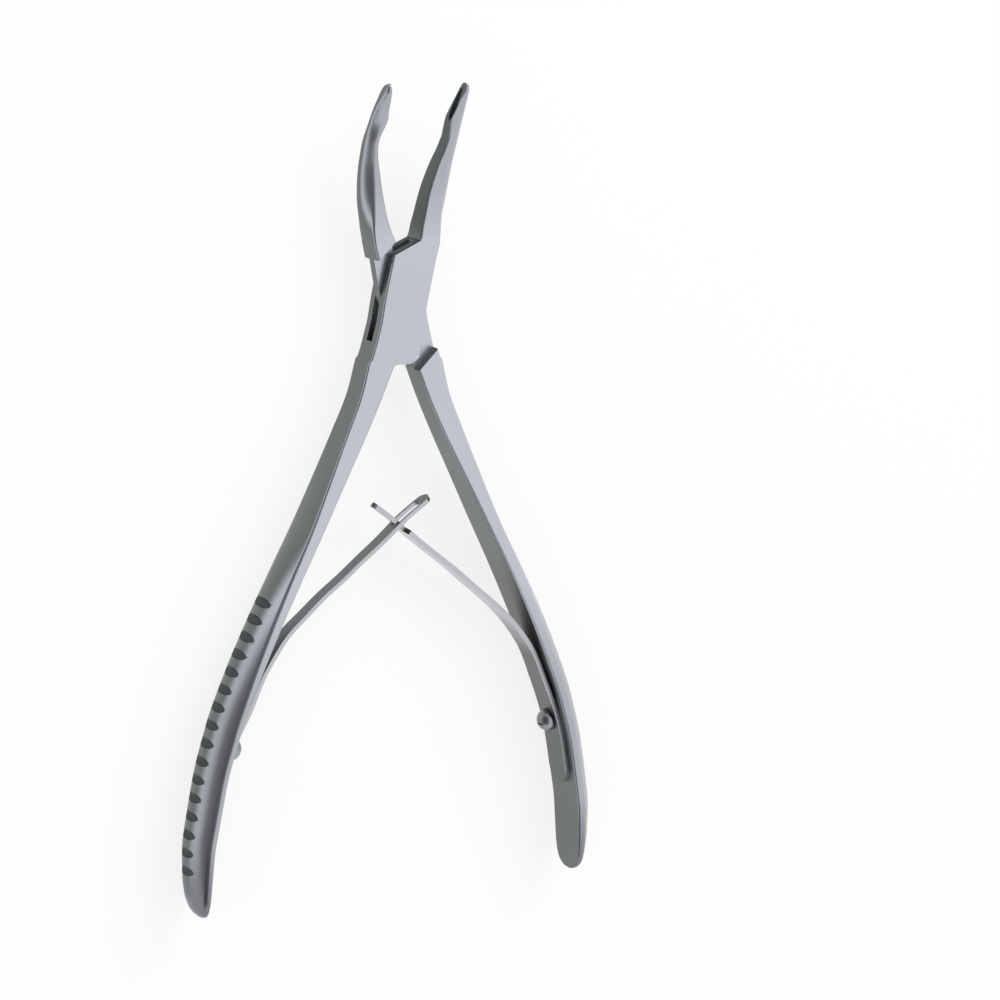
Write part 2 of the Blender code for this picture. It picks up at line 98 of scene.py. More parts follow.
jaw = {
    "reach": 45.5, "rise": 11.06, "rootWidth": 4.75, "biteReach": 37.9, "biteStep": 1.95, "gap": 0.05,
    "place": (0, 0.09, 0.2, 0.33, 0.47, 0.63, 0.76, 0.845, 0.915, 0.99, 1.11, 1.41, 1.66, 1.85, 1.95, 1.99, 2),
    "outer": (1.04, 1.07, 1.1, 1.11, 1.07, 0.99, 0.91, 0.86, 0.81, 0.74, 0.69, 0.56, 0.43, 0.31, 0.22, 0.14,
              0.08),
    "back": (0.18, 0.34, 0.48, 0.55, 0.63, 0.76, 0.86, 0.8, 0.48, 0.1, 0, 0, 0, 0, 0, 0, 0),
    "curved": (0, 0.12, 0.3, 0.46, 0.57, 0.63, 0.67, 0.69, 0.69, 0.67, 0.64, 0.6, 0.55, 0.45, 0.35, 0.28, 0.2),
    "low": (-0.3, -0.268, -0.23, -0.184, -0.118, -0.015, 0.104, 0.192, 0.277, 0.384, 0.45, 0.58, 0.7,
            0.79, 0.855, 0.9, 0.94),
    "high": (0.3, 0.284, 0.284, 0.29, 0.32, 0.378, 0.465, 0.535, 0.605, 0.685, 0.737, 0.862, 0.983, 1.04,
             1.04, 1.02, 1.005),
    "rings": 90, "thinnest": 0.3, "widest": -0.4, "under": 0.5, "fall": 2.1,
    "innerLean": {-1: -0.75, 1: 0.35}, "outerLean": {-1: 0.35, 1: 0.5},
    "leanPlace": (-0.1, 0, 0.13, 0.45, 0.82, 1, 2), "lean": (0, 0, 0.6, 1, 0.68, 0, 0),
}
cup = {"length": 7.8, "width": 1.7, "depth": 1.05, "place": 0.6, "rise": 0.757, "slope": 0.36,
       "sides": 64, "rows": 32}
gripNotches = {"count": 16, "first": 63.0, "last": 119.0, "radius": 1.0, "depth": 0.8,
               "sides": 64, "lineSteps": 80}


def easyCurve(places, values, at):
    # A smooth curve through the values that never overshoots them.
    places, values, at = np.array(places, float), np.array(values, float), np.atleast_1d(np.array(at, float))
    gap = np.diff(places)
    rate = np.diff(values) / gap
    slope = np.zeros(len(places))
    slope[0], slope[-1] = rate[0], rate[-1]
    for i in range(1, len(places) - 1):
        if rate[i - 1] * rate[i] > 0:
            before, after = gap[i - 1], gap[i]
            weights = (2 * after + before) / rate[i - 1] + (after + 2 * before) / rate[i]
            slope[i] = 3 * (before + after) / weights
    index = np.clip(np.searchsorted(places, at, side="right") - 1, 0, len(places) - 2)
    t = (at - places[index]) / gap[index]
    return ((2 * t**3 - 3 * t**2 + 1) * values[index] + (t**3 - 2 * t**2 + t) * gap[index] * slope[index]
            + (3 * t**2 - 2 * t**3) * values[index + 1] + (t**3 - t**2) * gap[index] * slope[index + 1])


def jawCrown(share):
    # The height of a jaw's crown at a place from -1 to 1 across its side, highest at the widest place.
    widest = jaw["widest"]
    if share > widest:
        return 1 - ((share - widest) / (1 - widest)) ** jaw["fall"]
    return 1 - jaw["under"] * ((widest - share) / (1 + widest)) ** 2


def sectionRing(y, left, right, low, high, radius, leftCrown=0, rightCrown=0):
    # A box with rounded corners round one cross-section, its side faces bulged by the crowns.
    radius = min(radius, section["edgeShare"] * (right - left), section["edgeShare"] * (high - low))
    middle, reach = (low + high) / 2, (high - low) / 2
    centre = (left + right) / 2
    corners = ((left, low, 180), (right, low, 270), (right, high, 0), (left, high, 90))
    sides = np.linspace(-section["crownReach"], section["crownReach"], section["crownRows"])
    flats = [share * ((right - left) / 2 - radius) for share in section["flatPlaces"]]
    points = []
    for number, (x, z, start) in enumerate(corners):
        pivotX = x + radius if x == left else x - radius
        pivotZ = z + radius if z == low else z - radius
        for step in range(section["edgeSteps"]):
            angle = math.radians(start + section["edgeTurn"] * step)
            points.append((pivotX + radius * math.cos(angle), pivotZ + radius * math.sin(angle)))
        if number == 0:
            points += [(centre + across, low) for across in flats]
        if number == 1:
            points += [(right, middle + share * (reach - radius)) for share in sides]
        if number == 2:
            points += [(centre - across, high) for across in flats]
        if number == 3:
            points += [(left, middle - share * (reach - radius)) for share in sides]
    ring = []
    for x, z in points:
        share = max(-1, min(1, (z - middle) / reach))
        if x < centre:
            x -= leftCrown * (1 - share**2)
        else:
            x += rightCrown * jawCrown(share)
        ring.append((x, y, z))
    return ring


def handleRings():
    # The rings lie closer together towards the round end.
    end = handle["place"][-1] - handle["endReach"] * np.linspace(1, 0, handle["endRings"]) ** handle["endEase"]
    shares = np.concatenate([
        np.linspace(handle["place"][0], handle["endPlace"], handle["rings"], endpoint=False), end])
    inner, thick, wide, bulge = (easyCurve(handle["place"], handle[name], shares)
                                 for name in ("inner", "thick", "wide", "bulge"))
    rings = []
    for i in reversed(range(len(shares))):
        inside = inner[i] * handle["spread"]
        outside = inside + thick[i] * handle["rootThickness"]
        reach = wide[i] * handle["width"] / 2
        rings.append(sectionRing(-shares[i] * handle["reach"], -outside, -inside, -reach, reach,
                                 handle["edge"], bulge[i] * handle["crown"]))
    return rings


def lockRings():
    places = 1 - (1 - heel["place"][-1]) * np.linspace(0, 1, heel["rings"]) ** heel["ease"]
    order = np.array(heel["place"])[::-1]
    handleSide = easyCurve(order, heel["handleSide"][::-1], places)
    freeSide = easyCurve(order, heel["freeSide"][::-1], places)
    rings = [(-share * lock["heelReach"], outer, free)
             for share, outer, free in zip(places, handleSide, freeSide)]
    for share in np.linspace(0, 1, heel["boxRings"]):
        free = float(np.interp(share, (0, 1), heel["boxSide"]))
        rings.append((share * lock["sideReach"], 1 + heel["swell"] * (1 - share**2), free))
    return [sectionRing(y, -outer * lock["halfWidth"], free * lock["halfWidth"], -halfThickness,
                        halfThickness, section["edge"]) for y, outer, free in rings]


def jawRings(side):
    # Each jaw leans a little to one side between lock and bite, as hand-set jaws do.
    # In jaw["place"] 0 is the fork, 1 the start of the bite and 2 the tip.
    ends = (lock["crotchReach"], jaw["biteReach"], jaw["reach"])
    shares = np.linspace(0, 2, jaw["rings"])
    reaches, places = (np.interp(values, (0, 1, 2), ends) for values in (shares, jaw["place"]))
    lean = easyCurve(jaw["leanPlace"], jaw["lean"], shares)
    outer, back, curved, low, high = (easyCurve(places, jaw[name], reaches)
                                      for name in ("outer", "back", "curved", "low", "high"))
    rings = []
    for i, y in enumerate(reaches):
        left = jaw["gap"] + back[i] * jaw["biteStep"] + lean[i] * jaw["innerLean"][side]
        right = outer[i] * jaw["rootWidth"] + lean[i] * jaw["outerLean"][side]
        thick = max(right - left, jaw["thinnest"])
        rings.append(sectionRing(y, left, left + thick * (1 - curved[i]), low[i] * jaw["rise"],
                                 high[i] * jaw["rise"], section["edge"], rightCrown=thick * curved[i]))
    return rings


def newObject(name, work):
    bmesh.ops.recalc_face_normals(work, faces=work.faces)
    mesh = bpy.data.meshes.new(name)
    work.to_mesh(mesh)
    work.free()
    made = bpy.data.objects.new(name, mesh)
    bpy.context.scene.collection.objects.link(made)
    return made


def loft(name, rings, fanned=False):
    work = bmesh.new()
    rows = [[work.verts.new(point) for point in ring] for ring in rings]
    count = len(rows[0])
    for low, high in zip(rows, rows[1:]):
        for i in range(count):
            work.faces.new((low[i], low[(i + 1) % count], high[(i + 1) % count], high[i]))
    for row in (rows[0], rows[-1]):
        if fanned:
            middle = work.verts.new(sum((point.co for point in row), Vector()) / count)
            for i in range(count):
                work.faces.new((row[i], row[(i + 1) % count], middle))
        else:
            work.faces.new(row)
    return newObject(name, work)


def outlineBlock(name, outline, low, high):
    return loft(name, [[(x, y, height) for x, y in outline] for height in (low, high)])


def circlePoints(radius):
    return [(radius * math.cos(a), radius * math.sin(a))
            for a in np.linspace(0, 2 * math.pi, roundSides, endpoint=False)]


def plainMesh(item):
    # The object with its modifiers worked in, as one plain mesh.
    bpy.context.view_layer.update()
    depsgraph = bpy.context.evaluated_depsgraph_get()
    mesh = bpy.data.meshes.new_from_object(item.evaluated_get(depsgraph), depsgraph=depsgraph)
    item.modifiers.clear()
    item.data = mesh
    return item


def carve(item, cutters):
    for cutter in cutters:
        change = item.modifiers.new(cutter.name, "BOOLEAN")
        change.operation = "DIFFERENCE"
        change.solver = "EXACT"
        change.object = cutter
    plainMesh(item)
    for cutter in cutters:
        bpy.data.objects.remove(cutter)
    return item


def finishMesh(item, sharpAngle):
    # Smooth shading that keeps real edges crisp.
    work = bmesh.new()
    work.from_mesh(item.data)
    bmesh.ops.remove_doubles(work, verts=work.verts, dist=mergeReach)
    bmesh.ops.dissolve_degenerate(work, edges=work.edges, dist=mergeReach)
    work.to_mesh(item.data)
    work.free()
    item.data.shade_smooth()
    item.data.set_sharp_from_angle(angle=math.radians(sharpAngle))
    weight = item.modifiers.new("weight", "WEIGHTED_NORMAL")
    weight.keep_sharp = True
    return plainMesh(item)


def openPose(side):
    # From a half's own closed frame to its open place. Side -1 is the half with the box.
    return (Matrix.Translation((0, 0, halfThickness))
            @ Matrix.Rotation(side * math.radians(lock["openingAngle"]), 4, "Z"))


def place(item, matrix):
    item.data.transform(Matrix.Scale(mm, 4) @ matrix)
    return item


# Node helpers

def newTree(name, kind, inputs, outputs):
    tree = bpy.data.node_groups.new(name, kind)
    for label, socketType, value in inputs:
        socket = tree.interface.new_socket(label, in_out="INPUT", socket_type=socketType)
        if value is not None:
            socket.default_value = value
    for label, socketType in outputs:
        tree.interface.new_socket(label, in_out="OUTPUT", socket_type=socketType)
    return tree, tree.nodes.new("NodeGroupInput"), tree.nodes.new("NodeGroupOutput")


def addNode(tree, kind, settings=None, values=None):
    made = tree.nodes.new(kind)
    for name, value in (settings or {}).items():
        setattr(made, name, value)
    for name, value in (values or {}).items():
        if isinstance(value, bpy.types.NodeSocket):
            tree.links.new(value, made.inputs[name])
        else:
            made.inputs[name].default_value = value
    return made


def useTree(item, tree, values):
    change = item.modifiers.new(tree.name, "NODES")
    change.node_group = tree
    for socket in tree.interface.items_tree:
        if socket.in_out == "INPUT" and socket.name in values:
            change[socket.identifier] = values[socket.name]


# Grip notches: one short round hollow at each even step along the crown of the grip

def notchTree():
    tree, start, end = newTree("notchRow", "GeometryNodeTree", (
        ("Crown Line", "NodeSocketGeometry", None), ("Count", "NodeSocketInt", 16),
        ("Radius", "NodeSocketFloat", 1.0), ("Depth", "NodeSocketFloat", 0.5),
        ("Length", "NodeSocketFloat", 12.0), ("Steel", "NodeSocketMaterial", None)),
        (("Cutters", "NodeSocketGeometry"),))
    steps = addNode(tree, "GeometryNodeResampleCurve",
                    values={"Curve": start.outputs["Crown Line"], "Count": start.outputs["Count"]})
    along = addNode(tree, "GeometryNodeInputTangent")
    outward = addNode(tree, "ShaderNodeVectorMath", {"operation": "CROSS_PRODUCT"},
                      {0: (0, 0, 1), 1: along.outputs[0]})
    lift = addNode(tree, "ShaderNodeMath", {"operation": "SUBTRACT"},
                   {0: start.outputs["Radius"], 1: start.outputs["Depth"]})
    push = addNode(tree, "ShaderNodeVectorMath", {"operation": "SCALE"},
                   {0: outward.outputs[0], "Scale": lift.outputs[0]})
    moved = addNode(tree, "GeometryNodeSetPosition",
                    values={"Geometry": steps.outputs[0], "Offset": push.outputs[0]})
    tool = addNode(tree, "GeometryNodeMeshCylinder", values={
        "Vertices": gripNotches["sides"], "Radius": start.outputs["Radius"], "Depth": start.outputs["Length"]})
    row = addNode(tree, "GeometryNodeInstanceOnPoints",
                  values={"Points": moved.outputs[0], "Instance": tool.outputs["Mesh"]})
    real = addNode(tree, "GeometryNodeRealizeInstances", values={"Geometry": row.outputs[0]})
    coated = addNode(tree, "GeometryNodeSetMaterial",
                     values={"Geometry": real.outputs[0], "Material": start.outputs["Steel"]})
    tree.links.new(coated.outputs[0], end.inputs[0])
    return tree


def crownPoint(distance):
    share = distance / handle["reach"]
    inner, thick, bulge = (float(easyCurve(handle["place"], handle[name], share)[0])
                           for name in ("inner", "thick", "bulge"))
    return Vector((-(inner * handle["spread"] + thick * handle["rootThickness"] + bulge * handle["crown"]),
                   -distance, 0))


def notchCutter(name, steel):
    curve = bpy.data.curves.new(name, "CURVE")
    curve.dimensions = "3D"
    places = np.linspace(gripNotches["last"], gripNotches["first"], gripNotches["lineSteps"])
    line = curve.splines.new("POLY")
    line.points.add(len(places) - 1)
    for point, distance in zip(line.points, places):
        point.co = (*crownPoint(distance), 1)
    drawn = bpy.data.objects.new(name, curve)
    bpy.context.scene.collection.objects.link(drawn)
    useTree(drawn, notchTree(), {
        "Count": gripNotches["count"], "Radius": gripNotches["radius"], "Depth": gripNotches["depth"],
        "Length": handle["width"], "Steel": steel})
    bpy.context.view_layer.update()
    depsgraph = bpy.context.evaluated_depsgraph_get()
    mesh = bpy.data.meshes.new_from_object(drawn.evaluated_get(depsgraph), depsgraph=depsgraph)
    bpy.data.objects.remove(drawn)
    cutter = bpy.data.objects.new(name, mesh)
    bpy.context.scene.collection.objects.link(cutter)
    return cutter


# The two forged halves, both made with the handle on the left, then one of them mirrored

def cornerArc(radius, wall):
    start = -math.pi / 2 + math.asin(wall / radius)
    return [(radius * math.cos(a), radius * math.sin(a)) for a in np.linspace(start, -math.pi, arcSteps)]


def slotCutter():
    reach = lock["tangThickness"] / 2 + lock["tangClearance"]
    wall, far = lock["forkGap"] - lock["fitGap"], lock["crotchReach"] + overrun
    half = cornerArc(lock["slotRadius"], wall) + [(-lock["slotRadius"], far), (-wall, far)]
    return outlineBlock("slotCutter", half + [(-x, -y) for x, y in half], -reach, reach)


def tangCutters():
    slant = (lock["crotchReach"] - lock["sideReach"]) / (lock["halfWidth"] + lock["forkGap"])
    upper = lock["sideReach"] + lock["shoulderGap"] * math.hypot(1, slant)
    heelSlant = (lock["heelForkReach"] - lock["heelShoulderReach"]) / lock["halfWidth"]
    far, fork = lock["halfWidth"] + 2 * overrun, lock["shoulderEnd"]

    def height(x):
        return upper + (x + lock["halfWidth"]) * slant

    def depth(x):
        return lock["heelForkReach"] - x * heelSlant

    shoulders = [(-far, height(-far)), (fork, height(fork)), (far, height(fork)),
                 (far, -depth(far)), (-fork, -depth(-fork)), (-far, -depth(-fork))]
    # These lines are drawn for a handle on the right, so they are mirrored to match the blank.
    shoulders = [(-x, y) for x, y in shoulders]
    reach, top = lock["tangThickness"] / 2, halfThickness + overrun
    radius, end = lock["slotRadius"] - lock["fitGap"], lock["crotchReach"] + overrun
    corner = cornerArc(radius, lock["forkGap"]) + [(-radius, -end), (lock["forkGap"], -end)]
    corner = [(-x, y) for x, y in corner]
    return [outlineBlock("frontRecess", shoulders, reach, top),
            outlineBlock("backRecess", shoulders, -top, -reach),
            outlineBlock("heelCorner", corner, -top, top),
            outlineBlock("jawCorner", [(-x, -y) for x, y in corner], -top, top)]


def pinHoleCutter():
    return outlineBlock("pinHole", circlePoints(lock["pinRadius"] + lock["holeClearance"]),
                        -halfThickness - overrun, halfThickness + overrun)


def cupShape():
    bite = jaw["reach"] - jaw["biteReach"]
    rise = math.atan2(jaw["rise"] * cup["slope"], bite)
    sizes = Matrix.Diagonal((cup["depth"], cup["length"] / 2, cup["width"] / 2, 1))
    middle = Matrix.Translation((0, jaw["reach"] - bite * cup["place"], jaw["rise"] * cup["rise"]))
    return middle @ Matrix.Rotation(rise, 4, "X") @ sizes


def cupCutter():
    work = bmesh.new()
    bmesh.ops.create_uvsphere(work, u_segments=cup["sides"], v_segments=cup["rows"], radius=1)
    bmesh.ops.transform(work, verts=work.verts, matrix=cupShape())
    return newObject("cupCutter", work)


# Painted shade in the notches, the cup, the fork and on the jaws' inner sides, with extra roughness there.
paintedShade = {
    "colour": (0.07, 0.08, 0.08), "rough": 0.15, "margin": 1.01,
    "jawShare": 0.6, "jawStart": 12, "jawFull": 17, "jawTurn": -0.8, "forkReach": (9, 14), "forkTurn": 0.5,
}


def markHollows(item, notchAxes):
    # 1 on the faces of the notches, of the bite's cup and of the fork between the jaws, and a part of it on
    # the jaw's inner side: there the steel is painted dark as shade and made rougher.
    mesh, inside = item.data, cupShape().inverted()
    points = [vertex.co for vertex in mesh.vertices]
    reach = gripNotches["radius"] * paintedShade["margin"]
    hollow = [(inside @ p).length < paintedShade["margin"]
              or any(math.hypot(p.x - x, p.y - y) < reach for x, y in notchAxes) for p in points]
    attribute = mesh.attributes.new("hollow", "FLOAT", "FACE")
    forkStart, forkEnd = paintedShade["forkReach"]
    for face in mesh.polygons:
        shadeShare = 0
        if face.normal.x < paintedShade["jawTurn"]:
            grown = np.interp(face.center.y, (paintedShade["jawStart"], paintedShade["jawFull"]), (0, 1))
            shadeShare = paintedShade["jawShare"] * float(grown)
        if face.normal.y > paintedShade["forkTurn"] and forkStart < face.center.y < forkEnd:
            shadeShare = 1
        attribute.data[face.index].value = 1 if all(hollow[i] for i in face.vertices) else shadeShare


def forgeHalf(name, side, lockCutters, steel):
    blank = loft(name, handleRings() + lockRings() + jawRings(side), fanned=True)
    notches = notchCutter(name + "Notches", steel)
    corners = np.array([vertex.co for vertex in notches.data.vertices])
    notchAxes = corners.reshape(gripNotches["count"], -1, 3).mean(axis=1)[:, :2]
    carve(blank, lockCutters + [pinHoleCutter(), cupCutter(), notches])
    markHollows(blank, notchAxes)
    if side > 0:
        blank.data.transform(mirror)
        blank.data.flip_normals()
    finishMesh(blank, section["sharpAngle"])
    markSides(blank, frontOnly=True)
    blank.data.materials.clear()
    blank.data.materials.append(steel)
    return place(blank, openPose(side))


# Finishes and painted shade. Every mesh carries how far each corner faces sideways. The flat front and back of
# the forgings are satin polished and their sides are rougher; the sides' darker colour is painted shade.

def markSides(item, frontOnly=False):
    mesh = item.data
    normals = np.zeros(len(mesh.loops) * 3, np.float32)
    mesh.corner_normals.foreach_get("vector", normals)
    normals = normals.reshape(-1, 3)
    # Painted light and shade: with frontOnly, corners turned towards the handles' ends count only by how far
    # they turn left or right, so they keep the lighter face colour.
    upright = np.maximum(normals[:, 1], 0) if frontOnly else normals[:, 1]
    facing = np.clip(np.hypot(normals[:, 0], upright), 0, 1).astype(np.float32)
    attribute = mesh.attributes.new("sideways", "FLOAT", "CORNER")
    attribute.data.foreach_set("value", facing)


def grainGroup():
    # Fine satin grain with faint clouds, from Object coordinates.
    tree, start, end = newTree("satinGrain", "ShaderNodeTree", (
        ("Grain Size", "NodeSocketFloat", 2600.0), ("Cloud Size", "NodeSocketFloat", 90.0),
        ("Grain Depth", "NodeSocketFloat", 0.06), ("Cloud Depth", "NodeSocketFloat", 0.05)),
        (("Tone", "NodeSocketFloat"), ("Roughness Shift", "NodeSocketFloat"), ("Height", "NodeSocketFloat")))
    spot = addNode(tree, "ShaderNodeTexCoord")
    grain = addNode(tree, "ShaderNodeTexNoise", values={
        "Vector": spot.outputs["Object"], "Scale": start.outputs["Grain Size"], "Detail": 3.0})
    clouds = addNode(tree, "ShaderNodeTexNoise", values={
        "Vector": spot.outputs["Object"], "Scale": start.outputs["Cloud Size"], "Detail": 4.0})
    grainShift = addNode(tree, "ShaderNodeMath", {"operation": "SUBTRACT"}, {0: grain.outputs["Fac"], 1: 0.5})
    cloudShift = addNode(tree, "ShaderNodeMath", {"operation": "SUBTRACT"}, {0: clouds.outputs["Fac"], 1: 0.5})
    grainTone = addNode(tree, "ShaderNodeMath", {"operation": "MULTIPLY"},
                        {0: grainShift.outputs[0], 1: start.outputs["Grain Depth"]})
    cloudTone = addNode(tree, "ShaderNodeMath", {"operation": "MULTIPLY_ADD"},
                        {0: cloudShift.outputs[0], 1: start.outputs["Cloud Depth"], 2: grainTone.outputs[0]})
    tone = addNode(tree, "ShaderNodeMath", {"operation": "ADD"}, {0: cloudTone.outputs[0], 1: 1.0})
    tree.links.new(tone.outputs[0], end.inputs["Tone"])
    tree.links.new(cloudTone.outputs[0], end.inputs["Roughness Shift"])
    tree.links.new(grain.outputs["Fac"], end.inputs["Height"])
    return tree


satinGrain = grainGroup()


def steelWithPaintedShade(name, finishAndShade):
    material = bpy.data.materials.new(name)
    material.use_nodes = True
    tree = material.node_tree
    shader = tree.nodes["Principled BSDF"]
    shader.inputs["Metallic"].default_value = 1
    facing = addNode(tree, "ShaderNodeAttribute", {"attribute_name": "sideways"})
    side = addNode(tree, "ShaderNodeMapRange", {"interpolation_type": "SMOOTHSTEP"}, {
        "Value": facing.outputs["Fac"], "From Min": finishAndShade["turnFrom"], "From Max": finishAndShade["turnTo"]})
    face = (*finishAndShade["face"], 1)
    if "fade" in finishAndShade:
        # The steel's colour darkens towards the handles' ends and on the jaws, as painted shade. Each stop is
        # a place along the tool, in millimetres, and its tone.
        spot = addNode(tree, "ShaderNodeTexCoord")
        parts = addNode(tree, "ShaderNodeSeparateXYZ", values={0: spot.outputs["Object"]})
        first, last = finishAndShade["fade"][0][0], finishAndShade["fade"][-1][0]
        along = addNode(tree, "ShaderNodeMapRange", values={
            "Value": parts.outputs["Y"], "From Min": first * mm, "From Max": last * mm})
        ramp = addNode(tree, "ShaderNodeValToRGB", values={0: along.outputs["Result"]})
        stops = ramp.color_ramp.elements
        for reach, tone in finishAndShade["fade"]:
            share = (reach - first) / (last - first)
            stop = stops[0] if share == 0 else stops[-1] if share == 1 else stops.new(share)
            stop.color = (tone, tone, tone, 1)
        face = addNode(tree, "ShaderNodeMix", {"data_type": "RGBA", "blend_type": "MULTIPLY"}, {
            0: 1.0, 6: face, 7: ramp.outputs["Color"]}).outputs[2]
    # Painted shade: surfaces that turn sideways take the much darker side colour.
    colour = addNode(tree, "ShaderNodeMix", {"data_type": "RGBA"}, {
        0: side.outputs["Result"], 6: face, 7: (*finishAndShade["side"], 1)})
    # Painted shade: the marked hollows, the fork and the jaws' inner sides take a near-black colour.
    hollow = addNode(tree, "ShaderNodeAttribute", {"attribute_name": "hollow"})
    colour = addNode(tree, "ShaderNodeMix", {"data_type": "RGBA"}, {
        0: hollow.outputs["Fac"], 6: colour.outputs[2], 7: (*paintedShade["colour"], 1)})
    grain = addNode(tree, "ShaderNodeGroup", {"node_tree": satinGrain}, {
        "Grain Size": finishAndShade["grainSize"], "Grain Depth": finishAndShade["grainDepth"]})
    toned = addNode(tree, "ShaderNodeMix", {"data_type": "RGBA", "blend_type": "MULTIPLY"}, {
        0: 1.0, 6: colour.outputs[2], 7: grain.outputs["Tone"]})
    tree.links.new(toned.outputs[2], shader.inputs["Base Color"])
    rough = addNode(tree, "ShaderNodeMapRange", values={
        "Value": side.outputs["Result"], "To Min": finishAndShade["faceRough"], "To Max": finishAndShade["sideRough"]})
    roughened = addNode(tree, "ShaderNodeMath", {"operation": "ADD"},
                        {0: rough.outputs["Result"], 1: grain.outputs["Roughness Shift"]})
    roughened = addNode(tree, "ShaderNodeMath", {"operation": "MULTIPLY_ADD"},
                        {0: hollow.outputs["Fac"], 1: paintedShade["rough"], 2: roughened.outputs[0]})
    tree.links.new(roughened.outputs[0], shader.inputs["Roughness"])
    bump = addNode(tree, "ShaderNodeBump", values={
        "Strength": finishAndShade["bump"], "Distance": 0.02 * mm, "Height": grain.outputs["Height"]})
    tree.links.new(bump.outputs[0], shader.inputs["Normal"])
    return material


# Each steel's side colour, much darker than its face colour, is painted shade on the sideways surfaces.
satinSteel = steelWithPaintedShade("satinSteel", {
    "face": (0.53, 0.545, 0.6), "side": (0.17, 0.185, 0.18), "turnFrom": 0.87, "turnTo": 0.97,
    "faceRough": 0.3, "sideRough": 0.4, "grainSize": 4200.0, "grainDepth": 0.05, "bump": 0.1,
    "fade": ((-124, 0.32), (-115, 0.48), (-106, 0.78), (-80, 0.78), (-58, 1), (12, 1), (24, 0.8), (46, 0.78))})
springSteel = steelWithPaintedShade("springSteel", {
    "face": (0.5, 0.51, 0.54), "side": (0.14, 0.15, 0.15), "turnFrom": 0.78, "turnTo": 0.97,
    "faceRough": 0.27, "sideRough": 0.35, "grainSize": 4200.0, "grainDepth": 0.04, "bump": 0.08})
screwSteel = steelWithPaintedShade("screwSteel", {
    "face": (0.36, 0.37, 0.4), "side": (0.24, 0.25, 0.26), "turnFrom": 0.4, "turnTo": 1.0,
    "faceRough": 0.28, "sideRough": 0.3, "grainSize": 3000.0, "grainDepth": 0.04, "bump": 0.08})

femaleHalf = forgeHalf("femaleHalf", -1, [slotCutter()], satinSteel)
maleHalf = forgeHalf("maleHalf", 1, tangCutters(), satinSteel)
for piece, body, node in ((femaleHalf, "female", "female_half"), (maleHalf, "male", "male_half")):
    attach(piece, body)
    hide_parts(node)
print("halves forged:", len(femaleHalf.data.polygons), len(maleHalf.data.polygons), "faces")


# Leaf springs: a flat blank with its eye or tongue, bent along the spring's line by a node tree

leaf = {
    "seatWidth": 7.4, "tail": 14.5, "bevel": 0.17, "back": 0.52, "tip": 4.0, "least": 0.02,
    "samples": 160, "stops": 130, "endStops": 10, "tipSteps": 48, "tipStep": 0.25, "tipTurn": 0.12,
    "tailSteps": 5, "weld": 0.001, "bevelAngle": 40, "bevelSteps": 2, "sharpAngle": 35,
    "y": (0.656, 0.608, 0.57, 0.536, 0.504, 0.472, 0.44, 0.407, 0.374, 0.341),
    "eye": {"thickness": 0.85, "widths": (0.88, 0.7, 0.55, 0.46, 0.44, 0.49), "overhang": 9.0, "heading": 135,
            "width": 2.4, "length": 7.5, "end": 2.2, "screwPlace": 93.4,
            "x": (0.822, 0.75, 0.661, 0.559, 0.414, 0.266, 0.095, -0.068, -0.238, -0.391)},
    "tongue": {"thickness": 1.0, "widths": (1, 0.88, 0.84, 0.83, 0.83, 0.83), "overhang": 6.8, "heading": 133,
               "width": 2.2, "shoulder": 0.5, "shoulderPlace": 2.4, "screwPlace": 94.8,
               "x": (0.868, 0.8, 0.699, 0.58, 0.436, 0.278, 0.127, -0.047, -0.216, -0.374)},
}


def leafLine(kind):
    # Points of the spring's middle line from tail to tip, for a handle on the right, with their distances.
    tail = leaf[kind]["screwPlace"] + leaf["tail"] * np.linspace(1, 0, leaf["tailSteps"])
    inner = easyCurve(handle["place"], handle["inner"], tail / handle["reach"]) * handle["spread"]
    points = np.concatenate([np.stack([inner - leaf["back"], -tail], 1),
                             np.stack([np.array(leaf[kind]["x"]) * handle["spread"],
                                       -np.array(leaf["y"]) * handle["reach"]], 1)])
    places = np.concatenate([[0], np.cumsum(np.linalg.norm(np.diff(points, axis=0), axis=1))])
    at = np.linspace(0, places[-1], leaf["samples"])
    line = np.stack([easyCurve(places, points[:, 0], at), easyCurve(places, points[:, 1], at)], 1)
    last = line[-1] - line[-4]
    heading, spot, further = math.degrees(math.atan2(last[1], last[0])), line[-1], []
    for step in range(leaf["tipSteps"]):
        heading += leaf["tipTurn"] * (leaf[kind]["heading"] - heading)
        turn = math.radians(heading)
        spot = spot + leaf["tipStep"] * np.array([math.cos(turn), math.sin(turn)])
        further.append(spot)
    line = np.concatenate([line, further])
    lengths = np.concatenate([[0], np.cumsum(np.linalg.norm(np.diff(line, axis=0), axis=1))])
    return line, lengths


def leafCrossing(line, lengths):
    turn = math.radians(lock["openingAngle"])
    across = line[:, 0] * math.cos(turn) - line[:, 1] * math.sin(turn)
    return float(np.interp(0, -across, lengths))


